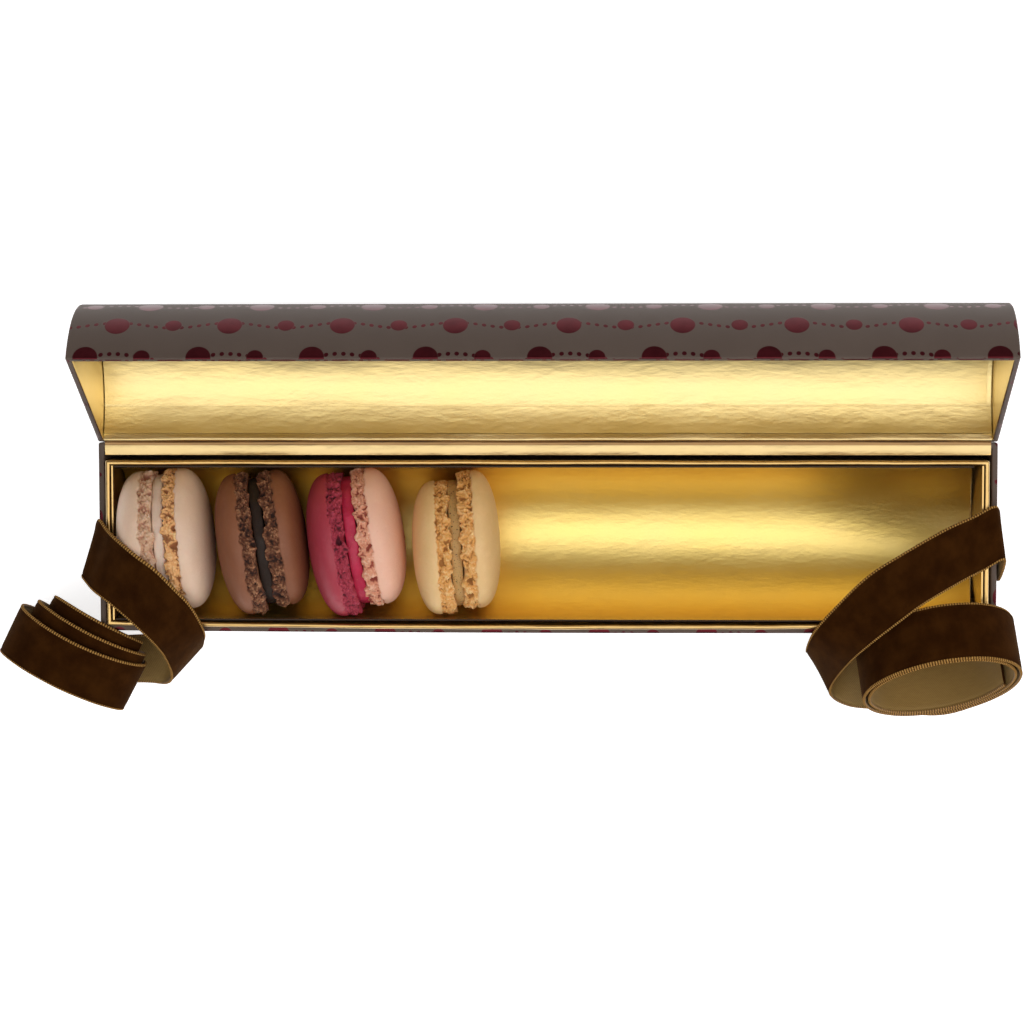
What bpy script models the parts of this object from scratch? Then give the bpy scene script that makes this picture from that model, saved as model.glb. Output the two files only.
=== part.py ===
"""A slim gift box of macarons, open, with a domed lid and two velvet ribbons.

Metres, +Z up. X runs along the box, the lid opens to the back (+Y), and the origin is the centre of the
underside of the box.
"""

import math

import bmesh
import bpy
from mathutils import Matrix, Vector

# The paper-covered base
BOX_LENGTH = 0.284
BOX_DEPTH = 0.060
BASE_HEIGHT = 0.030
BOARD = 0.0019
GAP = 0.0003

# The gold inner tray, which stands up above the base as a neck for the lid
TRAY_LENGTH = 0.2778
TRAY_BACK = 0.0246
TRAY_FRONT = -0.0278
TRAY_TOP = 0.035
TRAY_WALL = 0.0014
TRAY_FLOOR = 0.0012

# The curved gold card in the tray
CARD = 0.0005
LINER_TOP = 0.0346
LINER_RADIUS = 0.0240
LINER_RIGHT_AT_RIM = 0.1340
LINER_RIGHT_AT_FLOOR = 0.1362
LINER_LEFT = -TRAY_LENGTH / 2 + TRAY_WALL + 2 * GAP + CARD + 0.0002
LINER_AXIS = BOARD + 2 * GAP + TRAY_FLOOR + CARD + LINER_RADIUS
TROUGH_MIDDLE = (TRAY_FRONT + TRAY_BACK) / 2
ARC_STEPS = 28
END_CARD_TOP = 0.0342
END_CARD_FOOT = 0.0040

# The gold rail behind the tray, which the hinge paper lies over
RAIL_DEPTH = 0.0017
RAIL_FOOT = 0.0040

# The domed lid, a half round of board with flat ends
LID_RADIUS = BOX_DEPTH / 2
LID_OPEN = math.radians(117.3)
LID_CARD_RIGHT = 0.1382
LINING_FROM = math.radians(4)
LINING_TO = math.radians(22)
LID_CARD_FROM = math.radians(23.5)
LID_CARD_TO = math.radians(173)
CUT_DEPTH = 0.01

# The macarons: two shells with a ruffled foot on a disc of filling
FOOT_HEIGHT = 0.0038
FOOT_FLARE = 1.005
CRAG = 0.0005
FILLING_GAP = 0.00045
FILLING_SHARE = 0.965
SHELL_SIDES = 44
DOME_RINGS = 6
DOME_POWER = 2.35

# The velvet ribbons
RIBBON_WIDTH = 0.0178
RIBBON_THICKNESS = 0.0009

# name: place of the filling along the box, (left shell, filling, right shell) thickness, the radii of the
# two shells, how far each lies behind the middle of the trough, yaw, lean, and a step that varies the ruffles
MACARONS = {
    "rose": (-0.1206, (0.0133, 0.0038, 0.0129), (0.0225, 0.0225), (0.0006, 0.0005), 5.0, 1.4, 0.2),
    "chocolate": (-0.0900, (0.0125, 0.0040, 0.0120), (0.0226, 0.0218), (0.0001, 0.0004), 8.2, 5.0, 1.7),
    "raspberry": (-0.0601, (0.0130, 0.0042, 0.0130), (0.0229, 0.0219), (0.0, 0.0010), 8.5, 1.7, 3.1),
    "vanilla": (-0.0283, (0.0120, 0.0040, 0.0118), (0.0214, 0.0220), (-0.0015, 0.0005), 3.5, 2.8, 4.4),
}
COLOURS = {
    "rose": ((0.70, 0.46, 0.33), (0.80, 0.72, 0.58), (0.70, 0.46, 0.33)),
    "chocolate": ((0.26, 0.11, 0.055), (0.03, 0.012, 0.008), (0.26, 0.11, 0.055)),
    "raspberry": ((0.32, 0.035, 0.07), (0.50, 0.03, 0.10), (0.72, 0.34, 0.24)),
    "vanilla": ((0.76, 0.52, 0.27), (0.38, 0.26, 0.12), (0.76, 0.52, 0.27)),
}


def clear_scene():
    for found in list(bpy.data.objects):
        bpy.data.objects.remove(found)


def material(name, colour, roughness, metallic=0.0):
    made = bpy.data.materials.new(name)
    made.use_nodes = True
    shader = made.node_tree.nodes["Principled BSDF"]
    shader.inputs["Base Color"].default_value = (*colour, 1)
    shader.inputs["Roughness"].default_value = roughness
    shader.inputs["Metallic"].default_value = metallic
    return made


def new_object(name, bm, finish):
    """Makes the bmesh an object with this material and its faces pointing out."""
    bmesh.ops.recalc_face_normals(bm, faces=bm.faces)
    mesh = bpy.data.meshes.new(name)
    bm.to_mesh(mesh)
    bm.free()
    mesh.materials.append(finish)
    made = bpy.data.objects.new(name, mesh)
    bpy.context.scene.collection.objects.link(made)
    return made


def block(name, low, high, finish):
    bm = bmesh.new()
    bmesh.ops.create_cube(bm, size=1)
    for vert in bm.verts:
        vert.co = [low[i] if vert.co[i] < 0 else high[i] for i in range(3)]
    return new_object(name, bm, finish)


def open_box(name, low, high, wall, floor, finish):
    """A box with no top: its upper face is inset by the wall and pushed down to the floor."""
    bm = bmesh.new()
    bmesh.ops.create_cube(bm, size=1)
    for vert in bm.verts:
        vert.co = [low[i] if vert.co[i] < 0 else high[i] for i in range(3)]
    top = max(bm.faces, key=lambda face: face.calc_center_median().z)
    bmesh.ops.inset_individual(bm, faces=[top], thickness=wall, use_even_offset=True)
    hole = bmesh.ops.extrude_discrete_faces(bm, faces=[top])["faces"][0]
    for vert in hole.verts:
        vert.co.z = low[2] + floor
    return new_object(name, bm, finish)


def strip_along(name, outline_at, steps, finish):
    """Joins the outlines of each step into one closed body with flat ends."""
    bm = bmesh.new()
    loops = [[bm.verts.new(point) for point in outline_at(step)] for step in range(steps + 1)]
    for before, after in zip(loops, loops[1:]):
        for i, corner in enumerate(before):
            j = (i + 1) % len(before)
            bm.faces.new((corner, before[j], after[j], after[i]))
    bm.faces.new(loops[0])
    bm.faces.new(loops[-1])
    return new_object(name, bm, finish)


def build_base(paper, gold):
    half = BOX_LENGTH / 2
    side = BOX_DEPTH / 2
    low, high = (-half, -side, 0), (half, side, BASE_HEIGHT)
    open_box("base_shell", low, high, BOARD, BOARD, paper)
    tray_half = TRAY_LENGTH / 2
    low = (-tray_half, TRAY_FRONT, BOARD + GAP)
    high = (tray_half, TRAY_BACK, TRAY_TOP)
    open_box("tray", low, high, TRAY_WALL, TRAY_FLOOR, gold)
    rail_back = side - BOARD - GAP
    low = (-half + BOARD + GAP, rail_back - RAIL_DEPTH, RAIL_FOOT)
    block("hinge_rail", low, (half - BOARD - GAP, rail_back, BASE_HEIGHT), gold)


def build_tray_cards(gold):
    """The trough card, bent to a U between the long walls, and a flat card at each end."""
    inner_half = TRAY_LENGTH / 2 - TRAY_WALL

    def section(step):
        turn = math.pi * min(max(step - 1, 0), ARC_STEPS) / ARC_STEPS
        points = []
        for end in (0, 1):
            for radius in (LINER_RADIUS + CARD, LINER_RADIUS):
                y = TROUGH_MIDDLE - radius * math.cos(turn)
                z = LINER_AXIS - radius * math.sin(turn)
                if step in (0, ARC_STEPS + 2):
                    z = LINER_TOP
                share = (LINER_TOP - z) / (LINER_TOP - LINER_AXIS + LINER_RADIUS)
                right = LINER_RIGHT_AT_RIM + share * (LINER_RIGHT_AT_FLOOR - LINER_RIGHT_AT_RIM)
                points.append((right if end else LINER_LEFT, y, z))
        return points[0], points[1], points[3], points[2]

    strip_along("trough_liner", section, ARC_STEPS + 2, gold)
    reach = LINER_RADIUS + CARD
    for name, side in (("end_card_left", -1), ("end_card_right", 1)):
        outer = side * (inner_half - GAP)
        inner = side * (inner_half - GAP - CARD)
        low = (min(outer, inner), TROUGH_MIDDLE - reach, END_CARD_FOOT)
        block(name, low, (max(outer, inner), TROUGH_MIDDLE + reach, END_CARD_TOP), gold)


def half_round(name, x_from, x_to, radius, drop, finish):
    """A half cylinder along X over the hinge's own frame, carried below its flat face by drop."""
    bm = bmesh.new()
    arc = [math.pi * i / (2 * ARC_STEPS) for i in range(2 * ARC_STEPS + 1)]
    outline = [(-LID_RADIUS + radius * math.cos(a), GAP / 2 + radius * math.sin(a)) for a in arc]
    if drop:
        outline += [(outline[-1][0], -drop), (outline[0][0], -drop)]
    ends = [[bm.verts.new((x, y, z)) for y, z in outline] for x in (x_from, x_to)]
    bm.faces.new(ends[0])
    bm.faces.new(ends[1])
    for i in range(len(outline)):
        j = (i + 1) % len(outline)
        bm.faces.new((ends[0][i], ends[0][j], ends[1][j], ends[1][i]))
    return new_object(name, bm, finish)


def curved_card(name, x_from, x_to, start, end, finish):
    """A card bent to the inside of the dome, from one angle past the hinge to another."""
    outer = LID_RADIUS - BOARD - GAP
    steps = max(4, round((end - start) / math.pi * 2 * ARC_STEPS))

    def section(step):
        angle = start + (end - start) * step / steps
        points = []
        for radius in (outer, outer - CARD):
            y = -LID_RADIUS + radius * math.cos(angle)
            z = GAP / 2 + radius * math.sin(angle)
            points.append([(x, y, z) for x in (x_from, x_to)])
        return points[0][0], points[0][1], points[1][1], points[1][0]

    return strip_along(name, section, steps, finish)


def build_lid(paper, gold):
    """The lid is modelled shut, on an empty that lies on the hinge line and is then turned open."""
    hinge = bpy.data.objects.new("lid_hinge", None)
    bpy.context.scene.collection.objects.link(hinge)
    hinge.location = (0, BOX_DEPTH / 2, BASE_HEIGHT + GAP / 2)
    hinge.rotation_euler.x = -LID_OPEN
    half = BOX_LENGTH / 2
    inside = half - BOARD
    shell = half_round("lid_shell", -half, half, LID_RADIUS, 0, paper)
    cutter = half_round("lid_hollow", -inside, inside, LID_RADIUS - BOARD, CUT_DEPTH, paper)
    cutter.hide_render = True
    cutter.display_type = "WIRE"
    hollow = shell.modifiers.new("hollow", "BOOLEAN")
    hollow.operation = "DIFFERENCE"
    hollow.solver = "EXACT"
    hollow.object = cutter
    lining = curved_card("lid_lining", -inside + GAP, inside - GAP, LINING_FROM, LINING_TO, gold)
    card = curved_card("lid_card", -inside + GAP, LID_CARD_RIGHT, LID_CARD_FROM, LID_CARD_TO, gold)
    for piece in (shell, cutter, lining, card):
        piece.parent = hinge


def crag(angle, level, seed):
    """The ruffle of a macaron's foot: a few waves that beat together, from -1 to 1."""
    waves = ((7, 1.3, 0.34), (13, 2.1, 0.30), (19, 3.7, 0.22), (29, 5.9, 0.14))
    return sum(size * math.sin(n * angle + k * level + n * seed) for n, k, size in waves)


def dome_profile(radius, height):
    """(radius, height) of each ring, from the flat side over the ruffled foot and dome to the top."""
    foot = FOOT_HEIGHT
    rings = [(radius * 0.90, 0, 0), (radius * 0.975, 0.0003, 0.6), (radius * FOOT_FLARE, foot * 0.35, 1)]
    rings += [(radius * FOOT_FLARE, foot * 0.70, 1), (radius * 0.985, foot, 0.3)]
    for i in range(DOME_RINGS):
        rise = (math.sin(math.pi / 2 * i / DOME_RINGS)) ** 1.15
        across = (1 - rise**DOME_POWER) ** (1 / DOME_POWER)
        lift = foot + 0.0006 + (height - foot - 0.0006) * rise
        rings.append((radius * 0.99 * across, lift, 0))
    return rings


def shell_body(name, radius, height, seed, finish):
    """One macaron shell standing on its flat side, foot down and dome up."""
    bm = bmesh.new()
    rings = []
    for level, (size, lift, rough) in enumerate(dome_profile(radius, height)):
        ring = []
        for i in range(SHELL_SIDES):
            angle = 2 * math.pi * i / SHELL_SIDES
            out = size + CRAG * rough * crag(angle, level, seed)
            up = lift + 0.0003 * rough * crag(angle, level + 3, seed + 1)
            ring.append(bm.verts.new((out * math.cos(angle), out * math.sin(angle), max(up, 0))))
        rings.append(ring)
    for below, above in zip(rings, rings[1:]):
        for i in range(SHELL_SIDES):
            j = (i + 1) % SHELL_SIDES
            bm.faces.new((below[i], below[j], above[j], above[i]))
    bm.faces.new(rings[0])
    top = bm.verts.new((0, 0, height))
    for i in range(SHELL_SIDES):
        bm.faces.new((rings[-1][i], rings[-1][(i + 1) % SHELL_SIDES], top))
    return new_object(name, bm, finish)


def filling_body(name, radius, thickness, seed, finish):
    """The disc of filling, a little fuller at mid height, with an uneven edge."""
    bm = bmesh.new()
    rings = []
    for level, (share, lift) in enumerate(((0.985, -0.5), (1.0, 0), (0.985, 0.5))):
        ring = []
        for i in range(SHELL_SIDES):
            angle = 2 * math.pi * i / SHELL_SIDES
            out = radius * share + 0.0003 * crag(angle, level * 0.4, seed + 7)
            ring.append(bm.verts.new((out * math.cos(angle), out * math.sin(angle), lift * thickness)))
        rings.append(ring)
    for below, above in zip(rings, rings[1:]):
        for i in range(SHELL_SIDES):
            j = (i + 1) % SHELL_SIDES
            bm.faces.new((below[i], below[j], above[j], above[i]))
    bm.faces.new(rings[0])
    bm.faces.new(rings[-1])
    return new_object(name, bm, finish)


def seat(radius, shift):
    """Where the middle of a shell comes to lie, low enough that its foot just clears the round trough."""
    play = LINER_RADIUS - GAP - (radius * FOOT_FLARE + CRAG)
    return Vector((0, shift, -math.sqrt(max(play**2 - shift**2, 0))))


def build_macaron(name, x, parts, radii, shifts, yaw, lean, seed):
    """A macaron on edge in the trough: its axis lies along the box, turned by yaw and leaned."""
    left_height, filling, right_height = parts
    seats = [seat(radius, shift) for radius, shift in zip(radii, shifts)]
    middle = (seats[0] + seats[1]) / 2
    centre = Matrix.Translation(Vector((x, TROUGH_MIDDLE, LINER_AXIS)) + middle)
    turn = Matrix.Rotation(math.radians(yaw), 4, "Z") @ Matrix.Rotation(math.radians(lean), 4, "Y")
    left, inside, right = COLOURS[name]
    thickness = filling - 2 * FILLING_GAP
    finish = material(f"{name} filling", inside, 0.55)
    body = filling_body(f"{name}_filling", min(radii) * FILLING_SHARE, thickness, seed, finish)
    body.matrix_world = centre @ turn @ Matrix.Rotation(math.pi / 2, 4, "Y")
    sides = (("left", -1, left_height, left), ("right", 1, right_height, right))
    for i, (side, sign, height, colour) in enumerate(sides):
        finish = material(f"{name} {side} shell", colour, 0.65)
        shell = shell_body(f"{name}_shell_{side}", radii[i], height, seed + sign, finish)
        axis = Matrix.Rotation(sign * math.pi / 2, 4, "Y")
        slide = Matrix.Translation(seats[i] - middle)
        shell.matrix_world = centre @ turn @ slide @ axis @ Matrix.Translation((0, 0, filling / 2))


# Each ribbon's run from the end wall over the corner to the table, as points of its upper and lower edges
LEFT_RUN = (
    ((-0.1430, 0.0015, 0.0120), (-0.1430, -0.0163, 0.0120)),
    ((-0.1434, 0.0020, 0.0270), (-0.1437, -0.0158, 0.0260)),
    ((-0.1408, 0.0061, 0.0360), (-0.1467, -0.0125, 0.0345)),
    ((-0.1372, 0.0034, 0.0420), (-0.1445, -0.0146, 0.0379)),
    ((-0.1335, 0.0010, 0.0474), (-0.1418, -0.0167, 0.0407)),
    ((-0.1267, -0.0036, 0.0526), (-0.1363, -0.0202, 0.0434)),
    ((-0.1204, -0.0082, 0.0530), (-0.1315, -0.0242, 0.0439)),
    ((-0.1153, -0.0141, 0.0499), (-0.1271, -0.0288, 0.0422)),
    ((-0.1108, -0.0203, 0.0447), (-0.1235, -0.0333, 0.0388)),
    ((-0.1079, -0.0282, 0.0375), (-0.1215, -0.0383, 0.0315)),
    ((-0.1093, -0.0330, 0.0265), (-0.1213, -0.0458, 0.0190)),
    ((-0.1143, -0.0380, 0.0090), (-0.1255, -0.0505, 0.0045)),
    ((-0.1260, -0.0345, 0.0026), (-0.1335, -0.0505, 0.0013)),
)
RIGHT_RUN = (
    ((0.1430, 0.0040, 0.0120), (0.1430, -0.0138, 0.0120)),
    ((0.1430, 0.0040, 0.0255), (0.1433, -0.0138, 0.0255)),
    ((0.1408, 0.0105, 0.0355), (0.1438, -0.0066, 0.0344)),
    ((0.1336, 0.0075, 0.0383), (0.1373, -0.0094, 0.0379)),
    ((0.1239, 0.0034, 0.0415), (0.1294, -0.0131, 0.0410)),
    ((0.1095, -0.0045, 0.0452), (0.1176, -0.0194, 0.0464)),
    ((0.1001, -0.0108, 0.0448), (0.1106, -0.0246, 0.0472)),
    ((0.0910, -0.0202, 0.0418), (0.1024, -0.0318, 0.0426)),
    ((0.0842, -0.0289, 0.0370), (0.0965, -0.0389, 0.0318)),
    ((0.0827, -0.0360, 0.0240), (0.0925, -0.0475, 0.0150)),
    ((0.0852, -0.0378, 0.0100), (0.0920, -0.0535, 0.0055)),
    ((0.0935, -0.0400, 0.0022), (0.0975, -0.0574, 0.0012)),
    ((0.1050, -0.0405, 0.0012), (0.1065, -0.0583, 0.0030)),
)
LEFT_COIL_TURNS = 2.7
RIGHT_COIL_TURNS = 2.2


def edges(middle, across):
    """The upper and lower edge points of a ribbon about this point of its middle line."""
    half = across.normalized() * (RIBBON_WIDTH / 2)
    return middle + half, middle - half


def left_coil(turns):
    """The loose roll at the left, which leans on the corner of the box and telescopes towards it."""
    k = turns - 0.5
    swing = math.radians(152 - 1.5 * k)
    along = Vector((math.cos(swing), math.sin(swing), 0))
    axis = Vector((math.sin(swing), -math.cos(swing), 0))
    middle = Vector((-0.1532 + 0.0033 * k, -0.0411 + 0.0036 * k, 0.0171 + 0.0013 * k))
    length, height = 0.0216 - 0.0028 * k, 0.0142 - 0.0024 * k
    angle = 1.5 * math.pi - 2 * math.pi * turns
    rise = math.sin(angle)
    middle += along * (-length * math.cos(angle)) + Vector((0, 0, height * rise))
    middle += axis * (0.0013 * math.cos(angle) ** 2 - (0.0005 + 0.0012 * k) * (1 - rise))
    return edges(middle, axis + Vector((0, 0, 0.17 * (1 + rise))))


def right_coil(turns):
    """The rounder roll at the right, an oval ring that stands tilted in front of the box."""
    tilt, swing, lean = math.radians(30), math.radians(7.5), math.radians(25)
    level = Vector((math.cos(swing), math.sin(swing), 0))
    back = Vector((-math.sin(swing) * math.cos(tilt), math.cos(swing) * math.cos(tilt), -math.sin(tilt)))
    up = level.cross(back)
    long = level * math.cos(lean) + up * math.sin(lean)
    short = up * math.cos(lean) - level * math.sin(lean)
    radius = 0.0262 - 0.0017 * turns
    angle = 2 * math.pi * turns - math.pi / 2 - lean
    middle = Vector((0.1236, -0.0393, 0.0288))
    middle += long * radius * math.cos(angle) + short * (radius - 0.0035) * math.sin(angle)
    rise = 1 + math.sin(angle + lean)
    return edges(middle, back + Vector((0, 0, 0.12 * rise)))


def smooth(stations, share):
    """The point on a Catmull-Rom curve through the stations, at share from 0 to 1."""
    place = share * (len(stations) - 1)
    i = min(int(place), len(stations) - 2)
    t = place - i
    a, b, c, d = (stations[min(max(j, 0), len(stations) - 1)] for j in range(i - 1, i + 3))
    return (b * 2 + (c - a) * t + (a * 2 - b * 5 + c * 4 - d) * t**2 + (b * 3 - a - c * 3 + d) * t**3) / 2


def build_ribbon(name, run, coil, coil_turns, finish):
    """A flat ribbon: the run over the corner, then the coil, swept with a thin oblong section."""
    stations = [(Vector(upper), Vector(lower)) for upper, lower in run]
    coil_steps = round(coil_turns * 12)
    stations += [coil(coil_turns * i / coil_steps) for i in range(coil_steps + 1)]
    uppers = [upper for upper, _ in stations]
    lowers = [lower for _, lower in stations]
    steps = 3 * (len(stations) - 1)

    def section(step):
        share = step / steps
        upper, lower = smooth(uppers, share), smooth(lowers, share)
        before, after = max(share - 0.002, 0), min(share + 0.002, 1)
        tangent = smooth(uppers, after) + smooth(lowers, after)
        tangent -= smooth(uppers, before) + smooth(lowers, before)
        out = (upper - lower).cross(tangent).normalized() * (RIBBON_THICKNESS / 2)
        return upper + out, upper - out, lower - out, lower + out

    strip_along(name, section, steps, finish)


def main():
    clear_scene()
    paper = material("taupe paper", (0.105, 0.07, 0.058), 0.5)
    gold = material("gold foil card", (0.80, 0.53, 0.19), 0.3, 1.0)
    velvet = material("brown velvet", (0.045, 0.018, 0.004), 0.9)
    build_base(paper, gold)
    build_tray_cards(gold)
    build_lid(paper, gold)
    for name, sizes in MACARONS.items():
        build_macaron(name, *sizes)
    build_ribbon("ribbon_left", LEFT_RUN, left_coil, LEFT_COIL_TURNS, velvet)
    build_ribbon("ribbon_right", RIGHT_RUN, right_coil, RIGHT_COIL_TURNS, velvet)


main()
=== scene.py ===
"""A slim gift box of macarons, open, with a domed lid and two velvet ribbons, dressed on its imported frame.

Metres, +Z up. X runs along the box, the lid opens to the back (+Y), and the origin is the centre of the
underside of the box.
"""

import math

import bpy
from mathutils import Matrix, Vector, noise


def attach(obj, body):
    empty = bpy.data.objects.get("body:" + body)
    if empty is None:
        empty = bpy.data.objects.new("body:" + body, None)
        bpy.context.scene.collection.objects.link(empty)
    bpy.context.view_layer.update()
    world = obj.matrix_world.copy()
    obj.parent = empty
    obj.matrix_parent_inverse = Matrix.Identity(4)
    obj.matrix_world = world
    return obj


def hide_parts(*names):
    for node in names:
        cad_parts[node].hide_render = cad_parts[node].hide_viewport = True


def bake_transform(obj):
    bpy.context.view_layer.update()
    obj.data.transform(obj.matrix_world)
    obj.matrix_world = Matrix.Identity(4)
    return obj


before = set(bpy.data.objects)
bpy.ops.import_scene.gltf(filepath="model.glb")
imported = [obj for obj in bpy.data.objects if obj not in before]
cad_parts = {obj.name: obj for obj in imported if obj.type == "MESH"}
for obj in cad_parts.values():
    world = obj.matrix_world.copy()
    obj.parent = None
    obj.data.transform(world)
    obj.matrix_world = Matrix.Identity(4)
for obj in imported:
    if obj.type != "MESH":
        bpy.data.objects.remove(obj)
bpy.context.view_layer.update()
NOISE_SEED = 7  # without one, noise_vector differs from run to run
noise.seed_set(NOISE_SEED)


# The table and the light. A white table, a wide soft light above the box with a brighter strip in its middle,
# which draws the band along the gold trough, and small ones from the back and the right.
class Wire:
    """A socket of a shader, on which sums are written as they are on a number."""

    def __init__(self, finish, socket):
        self.finish = finish
        self.socket = socket

    def __add__(self, other):
        return self.finish.maths("ADD", self, other)

    def __sub__(self, other):
        return self.finish.maths("SUBTRACT", self, other)

    def __rsub__(self, other):
        return self.finish.maths("SUBTRACT", other, self)

    def __mul__(self, other):
        return self.finish.maths("MULTIPLY", self, other)

    def __truediv__(self, other):
        return self.finish.maths("DIVIDE", self, other)

    def __gt__(self, other):
        return self.finish.maths("GREATER_THAN", self, other)

    __radd__ = __add__
    __rmul__ = __mul__


class Finish:
    """A material under construction: its Principled shader, and one way to add any other node."""

    def __init__(self, name, **constants):
        self.material = bpy.data.materials.new(name)
        self.material.use_nodes = True
        self.tree = self.material.node_tree
        self.shader = self.tree.nodes["Principled BSDF"]
        self.set(**{key.replace("_", " "): value for key, value in constants.items()})

    def put(self, socket, value):
        if isinstance(value, Wire):
            self.tree.links.new(value.socket, socket)
        elif socket.type == "RGBA" and len(value) == 3:
            socket.default_value = (*value, 1)
        else:
            socket.default_value = value

    def set(self, **sockets):
        for name, value in sockets.items():
            self.put(self.shader.inputs[name], value)

    def node(self, kind, settings=None, inputs=None, output=0):
        """Adds a node, sets it up, fills its sockets, and returns one of its outputs."""
        made = self.tree.nodes.new(kind)
        for key, value in (settings or {}).items():
            if key == "stops":
                ramp = made.color_ramp.elements
                while len(ramp) < len(value):
                    ramp.new(0.5)
                for stop, (place, colour) in zip(ramp, value):
                    stop.position = place
                    stop.color = (*colour, 1)
            else:
                setattr(made, key, value)
        for key, value in (inputs or {}).items():
            self.put(made.inputs[key], value)
        return Wire(self, made.outputs[output])

    def maths(self, operation, *values):
        return self.node("ShaderNodeMath", {"operation": operation}, dict(enumerate(values)))

    def mix(self, share, first, second):
        """Goes from the first colour to the second as share goes from 0 to 1."""
        return self.node("ShaderNodeMix", {"data_type": "RGBA"}, {0: share, 6: first, 7: second}, 2)

    def place(self):
        """Where a point is on the object, in metres."""
        return self.node("ShaderNodeTexCoord", output=3)

    def cloth_place(self):
        """Where a point is on the piece laid flat, in metres, from its UV map."""
        return self.node("ShaderNodeTexCoord", output=2)

    def coordinate(self, place, axis):
        """One number of a place: 0 for X, 1 for Y, 2 for Z."""
        return self.node("ShaderNodeSeparateXYZ", inputs={0: place}, output=axis)

    def scaled(self, place, scale):
        return self.node("ShaderNodeMapping", inputs={"Vector": place, "Scale": scale})

    def noise(self, place, scale, detail=3.0, rough=0.55):
        inputs = {"Vector": place, "Scale": scale, "Detail": detail, "Roughness": rough}
        return self.node("ShaderNodeTexNoise", inputs=inputs)

    def between(self, value, low, high):
        """0 below low, 1 above high, and a smooth step from one to the other."""
        settings = {"interpolation_type": "SMOOTHSTEP"}
        return self.node("ShaderNodeMapRange", settings, {"Value": value, "From Min": low, "From Max": high})

    def attribute(self, name):
        return self.node("ShaderNodeAttribute", {"attribute_name": name}, output=2)

    def bump(self, height, distance, strength=1.0, under=None):
        inputs = {"Height": height, "Distance": distance, "Strength": strength}
        if under:
            inputs["Normal"] = under
        return self.node("ShaderNodeBump", inputs=inputs)


def alone(piece):
    """Selects this object and nothing else."""
    bpy.ops.object.select_all(action="DESELECT")
    piece.select_set(True)
    bpy.context.view_layer.objects.active = piece


def settle(piece):
    """Puts the piece's place, turn and size into its mesh."""
    alone(piece)
    bpy.ops.object.transform_apply(location=True, rotation=True, scale=True)


def named(name):
    piece = bpy.context.object
    piece.name = name
    piece.data.name = name
    return piece


def clear_selection():
    bpy.ops.object.select_all(action="DESELECT")


TABLE_SIZE = 14.0
TABLE_TOP = -0.0002
clear_selection()
bpy.ops.mesh.primitive_plane_add(size=TABLE_SIZE, location=(0, 0, TABLE_TOP))
table = named("table_top")
settle(table)
white = Finish("white table", Roughness=0.9, Emission_Strength=0.75)
white.set(**{"Emission Color": (1, 1, 1)})
white.set(**{"Base Color": white.mix(white.noise(white.place(), 40), (0.92, 0.92, 0.92), (0.94, 0.94, 0.94))})
table.data.materials.append(white.material)

LIGHTS = {
    # name: place, the point it faces, width and depth, watts
    "light_above": ((0.10, -0.30, 1.45), (0, 0, 0), (2.8, 2.0), 17.5),
    "light_core": ((0.10, -0.20, 1.40), (0, 0, 0), (2.6, 0.85), 6.2),
    "light_back": ((0.0, 1.35, 0.95), (0, 0, 0), (2.2, 0.7), 1.6),
    "light_right": ((1.3, -0.3, 0.8), (0, 0, 0), (0.6, 0.9), 4.0),
}
for light_name, (spot, aim, sides, watts) in LIGHTS.items():
    clear_selection()
    turn = (Vector(aim) - Vector(spot)).to_track_quat("-Z", "Y").to_euler()
    bpy.ops.object.light_add(type="AREA", location=spot, rotation=turn)
    light = bpy.context.object
    light.name = light_name
    light.data.shape = "RECTANGLE"
    light.data.size, light.data.size_y = sides
    light.data.energy = watts
sky = bpy.data.worlds.new("studio")
sky.use_nodes = True
sky.node_tree.nodes["Background"].inputs["Color"].default_value = (0.96, 0.97, 1.0, 1)
sky.node_tree.nodes["Background"].inputs["Strength"].default_value = 0.08
bpy.context.scene.world = sky

clear_selection()
CAMERA_TURN = [math.radians(a) for a in (-4.2793, 2.4249, -0.1163)]
bpy.ops.object.camera_add(location=(0.02897, 0.0776, 0.96012), rotation=CAMERA_TURN)
camera = bpy.context.object
camera.data.lens = 103.8
camera.data.sensor_width = 36
bpy.context.scene.camera = camera
bpy.context.scene.view_settings.view_transform = "Standard"


# The outer base. Stiff board wrapped in taupe paper with dark red foil dots, folded over the rim, so every
# edge is a soft round.
BOX_LENGTH, BOX_DEPTH, BASE_HEIGHT = 0.284, 0.060, 0.030
BOARD = 0.0019
GAP = 0.0003
EDGE_ROUND = 0.0006
FRONT_BOW = 0.0005
HALF_LENGTH, HALF_DEPTH = BOX_LENGTH / 2, BOX_DEPTH / 2
WELD = 0.00001

# The print: how far apart the discs are and the beads between them, and how far a wave swings, in rows
DISC_COLUMN, DISC_ROW = 0.0170, 0.0125
BEAD_PITCH = 0.0026
WAVE_SWING = 0.10


def edit_all(piece):
    """Leaves the piece in edit mode with all of it chosen."""
    alone(piece)
    bpy.ops.object.mode_set(mode="EDIT")
    bpy.ops.mesh.select_all(action="SELECT")


def close_up(piece, merge=0.0):
    """Merges the points that lie this near to each other, and turns every face outward."""
    edit_all(piece)
    if merge:
        bpy.ops.mesh.remove_doubles(threshold=merge)
    bpy.ops.mesh.normals_make_consistent(inside=False)
    bpy.ops.object.mode_set(mode="OBJECT")


def choose_faces(piece, wanted):
    """Leaves the piece in edit mode with only the faces chosen for which wanted(face) is true."""
    alone(piece)
    bpy.ops.object.mode_set(mode="EDIT")
    bpy.ops.mesh.select_mode(type="FACE")
    bpy.ops.mesh.select_all(action="DESELECT")
    bpy.ops.object.mode_set(mode="OBJECT")
    for face in piece.data.polygons:
        face.select = wanted(face)
    bpy.ops.object.mode_set(mode="EDIT")


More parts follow.
